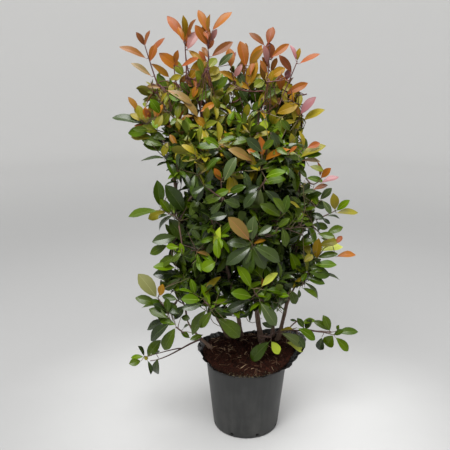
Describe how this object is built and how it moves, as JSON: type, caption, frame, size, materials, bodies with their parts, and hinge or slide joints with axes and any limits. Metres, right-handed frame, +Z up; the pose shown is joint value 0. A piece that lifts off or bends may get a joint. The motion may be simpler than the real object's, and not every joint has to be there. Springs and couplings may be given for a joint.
{
  "type": "photinia shrub in a nursery pot",
  "caption": "Bushy evergreen photinia with bronze-red young shoots at the top, its stems rising from one root ball in a round nursery pot with a crinkled black liner.",
  "frame": {"origin": "centre of the pot's flat underside", "axes": "+Z up, +X to the right and +Y to the back of the shrub as pictured"},
  "size_m": [0.8269, 0.5986, 1.4576],
  "materials": {
    "pot": "satin dark grey moulded plastic",
    "liner": "crinkled glossy black plastic sheet",
    "compost": "fibrous moist dark red-brown compost",
    "bark": "thin smooth brown bark",
    "leaf": "glossy leathery green leaf",
    "young_leaf": "glossy bronze to red young leaf"
  },
  "bodies": {
    "root": {"pot": "pot", "liner": "liner", "root_ball": "compost", "stem_1": "bark", "stem_2": "bark", "stem_3": "bark", "stem_4": "bark", "stem_5": "bark", "stem_6": "bark", "bough_skirt_front_left": "bark", "bough_skirt_front_right": "bark", "bough_skirt_right": "bark", "bough_skirt_back_right": "bark", "bough_skirt_back_left": "bark", "bough_waist_left": "bark", "bough_waist_front_left": "bark", "bough_waist_front_right": "bark", "bough_waist_right": "bark", "bough_waist_back_right": "bark", "bough_waist_back_left": "bark", "bough_shoulder_left": "bark", "bough_shoulder_front_left": "bark", "bough_shoulder_front_right": "bark", "bough_shoulder_right": "bark", "bough_shoulder_back_right": "bark", "bough_shoulder_back_left": "bark", "bough_top_back_left": "bark", "foliage_low_front": "leaf", "foliage_low_left": "leaf", "foliage_low_right": "leaf", "foliage_skirt_left": "leaf", "foliage_skirt_front_left": "leaf", "foliage_skirt_front_right": "leaf", "foliage_skirt_right": "leaf", "foliage_skirt_back_right": "leaf", "foliage_skirt_back_left": "leaf", "foliage_waist_left": "leaf", "foliage_waist_front_left": "leaf", "foliage_waist_front_right": "leaf", "foliage_waist_right": "leaf", "foliage_waist_back_right": "leaf", "foliage_waist_back_left": "leaf", "foliage_shoulder_left": "leaf", "foliage_shoulder_front_left": "leaf", "foliage_shoulder_front_right": "leaf", "foliage_shoulder_right": "leaf", "foliage_shoulder_back_right": "leaf", "foliage_shoulder_back_left": "leaf", "foliage_top_left": "young_leaf", "foliage_top_tall": "young_leaf", "foliage_top_back_left": "young_leaf", "foliage_top_middle": "young_leaf", "foliage_top_front": "young_leaf", "foliage_top_right": "young_leaf"}
  },
  "joints": []
}
